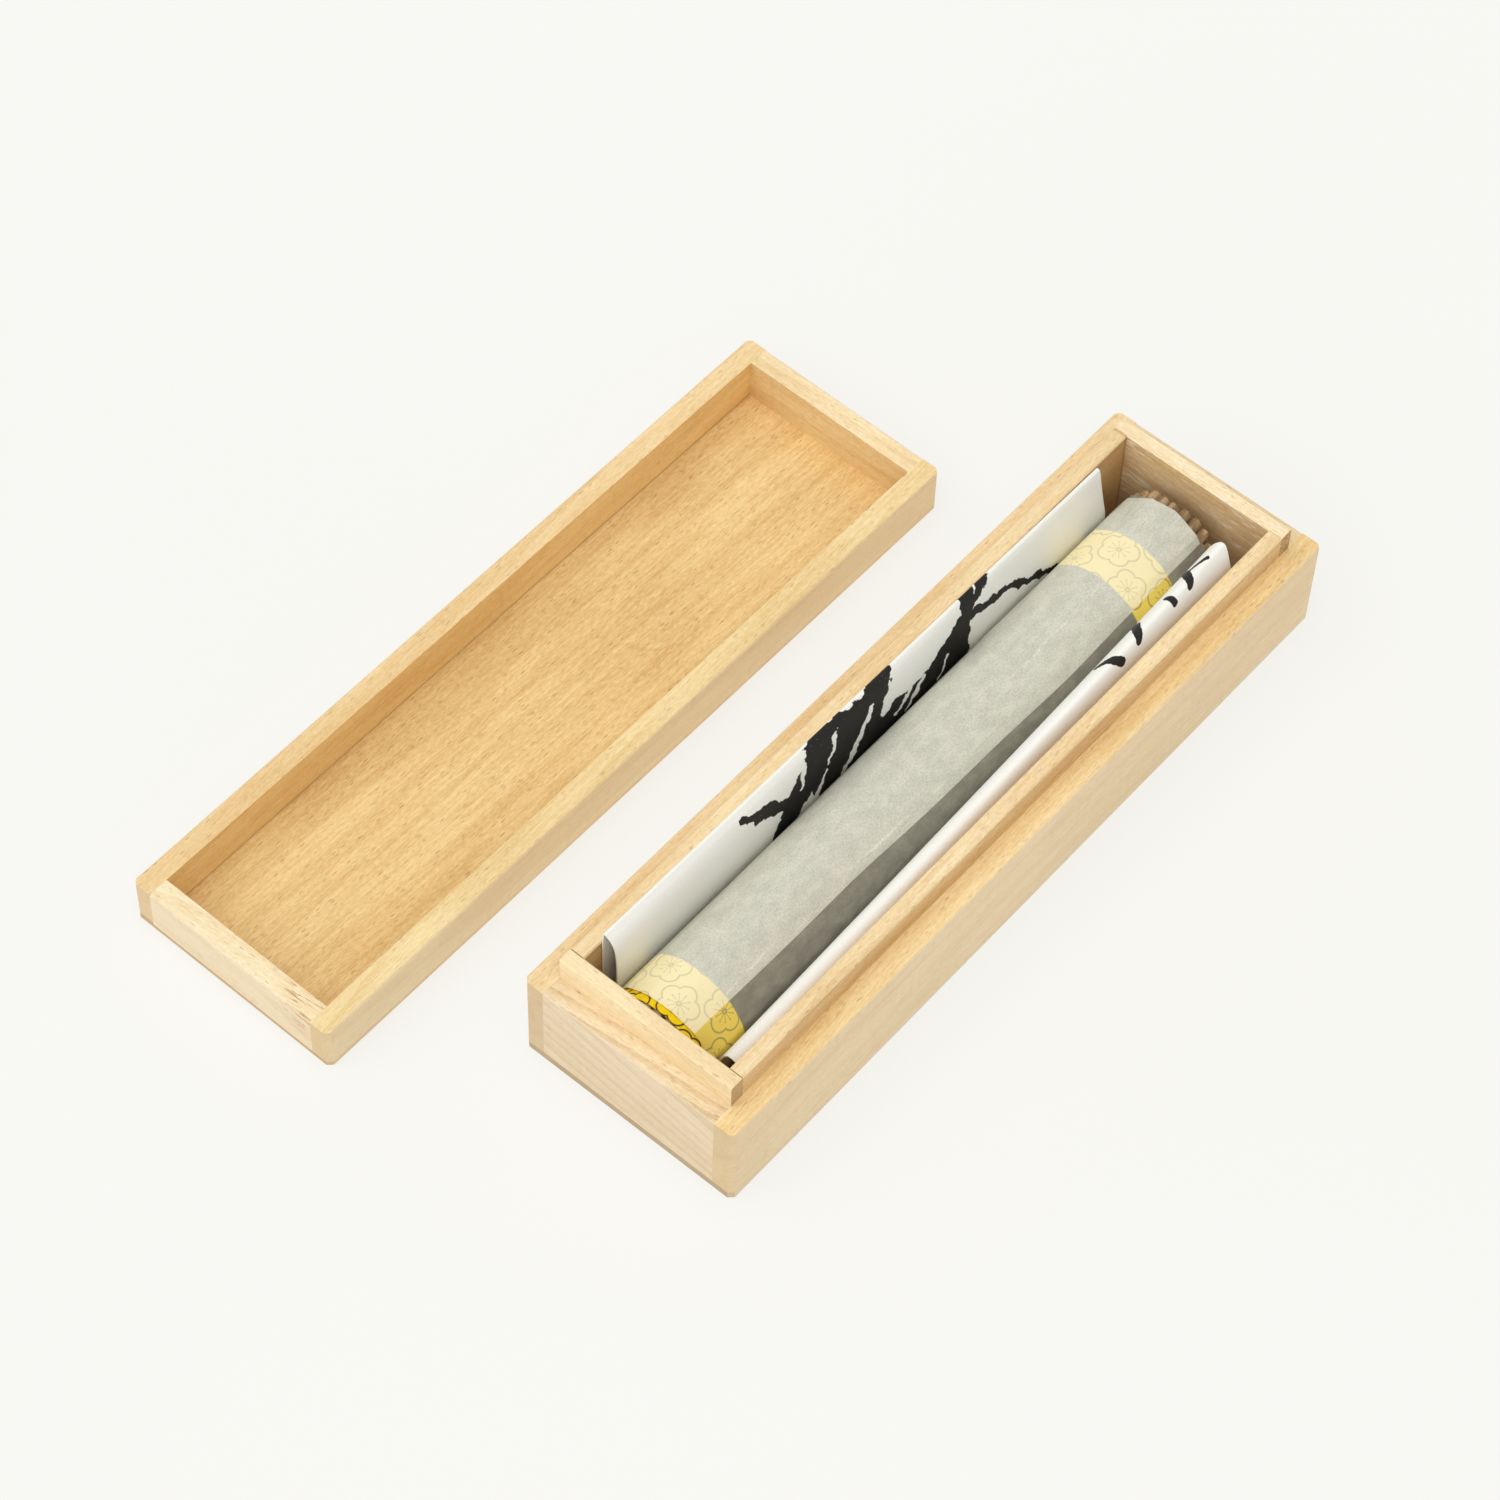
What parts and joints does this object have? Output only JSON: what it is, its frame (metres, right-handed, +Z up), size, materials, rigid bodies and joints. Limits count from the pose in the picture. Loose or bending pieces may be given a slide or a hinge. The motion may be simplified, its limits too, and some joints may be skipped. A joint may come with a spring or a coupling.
{
  "type": "boxed incense bundle",
  "caption": "Open slip-lid paulownia box with a tissue-wrapped bundle of incense sticks in a loose brush-printed paper wrapper, the shallow lid lying upside down beside it.",
  "frame": {"origin": "on the table under the middle of the box's bottom plate", "axes": "+Y along the box's length, +Z up, +X across the box away from the lid"},
  "size_m": [0.1135, 0.1853, 0.0279],
  "materials": {
    "paulownia_board": "planed, unfinished pale paulownia with fine grain",
    "paulownia_panel": "planed, unfinished thin paulownia panel with long straight grain",
    "incense": "matt, pressed brown incense paste",
    "yellow_paper": "matt yellow paper with dark five-petal outlines",
    "tissue": "thin, soft, slightly see-through tissue",
    "wrapper_paper": "smooth stiff white paper with a black brushed branch"
  },
  "bodies": {
    "box": {"bottom_plate": "paulownia_panel", "long_lining_left": "paulownia_board", "long_lining_right": "paulownia_board", "long_wall_left": "paulownia_board", "long_wall_right": "paulownia_board", "short_lining_far": "paulownia_board", "short_lining_near": "paulownia_board", "short_wall_far": "paulownia_board", "short_wall_near": "paulownia_board"},
    "lid": {"lid_long_wall_left": "paulownia_board", "lid_long_wall_right": "paulownia_board", "lid_panel": "paulownia_panel", "lid_short_wall_far": "paulownia_board", "lid_short_wall_near": "paulownia_board"},
    "wrapper": {"printed_wrapper": "wrapper_paper"},
    "bundle": {"outer_stick_01": "incense", "outer_stick_02": "incense", "outer_stick_03": "incense", "outer_stick_04": "incense", "outer_stick_05": "incense", "outer_stick_06": "incense", "outer_stick_07": "incense", "outer_stick_08": "incense", "outer_stick_09": "incense", "outer_stick_10": "incense", "outer_stick_11": "incense", "outer_stick_12": "incense", "outer_stick_13": "incense", "outer_stick_14": "incense", "outer_stick_15": "incense", "outer_stick_16": "incense", "outer_stick_17": "incense", "outer_stick_18": "incense", "outer_stick_19": "incense", "outer_stick_20": "incense", "outer_stick_21": "incense", "outer_stick_22": "incense", "outer_stick_23": "incense", "outer_stick_24": "incense", "paper_band_far": "yellow_paper", "paper_band_near": "yellow_paper", "stick_middle": "incense", "sticks_ring_1": "incense", "sticks_ring_2": "incense", "sticks_ring_3": "incense", "tissue_wrap": "tissue"}
  },
  "joints": [
    {"name": "lid_lift", "type": "slide", "parent": "box", "child": "lid", "axis": [0, 0, 1], "range_m": [0, 0.04]},
    {"name": "wrapper_lift", "type": "slide", "parent": "box", "child": "wrapper", "axis": [0, 0, 1], "range_m": [0, 0.03]},
    {"name": "bundle_lift", "type": "slide", "parent": "wrapper", "child": "bundle", "axis": [0, 0, 1], "range_m": [0, 0.03]}
  ]
}
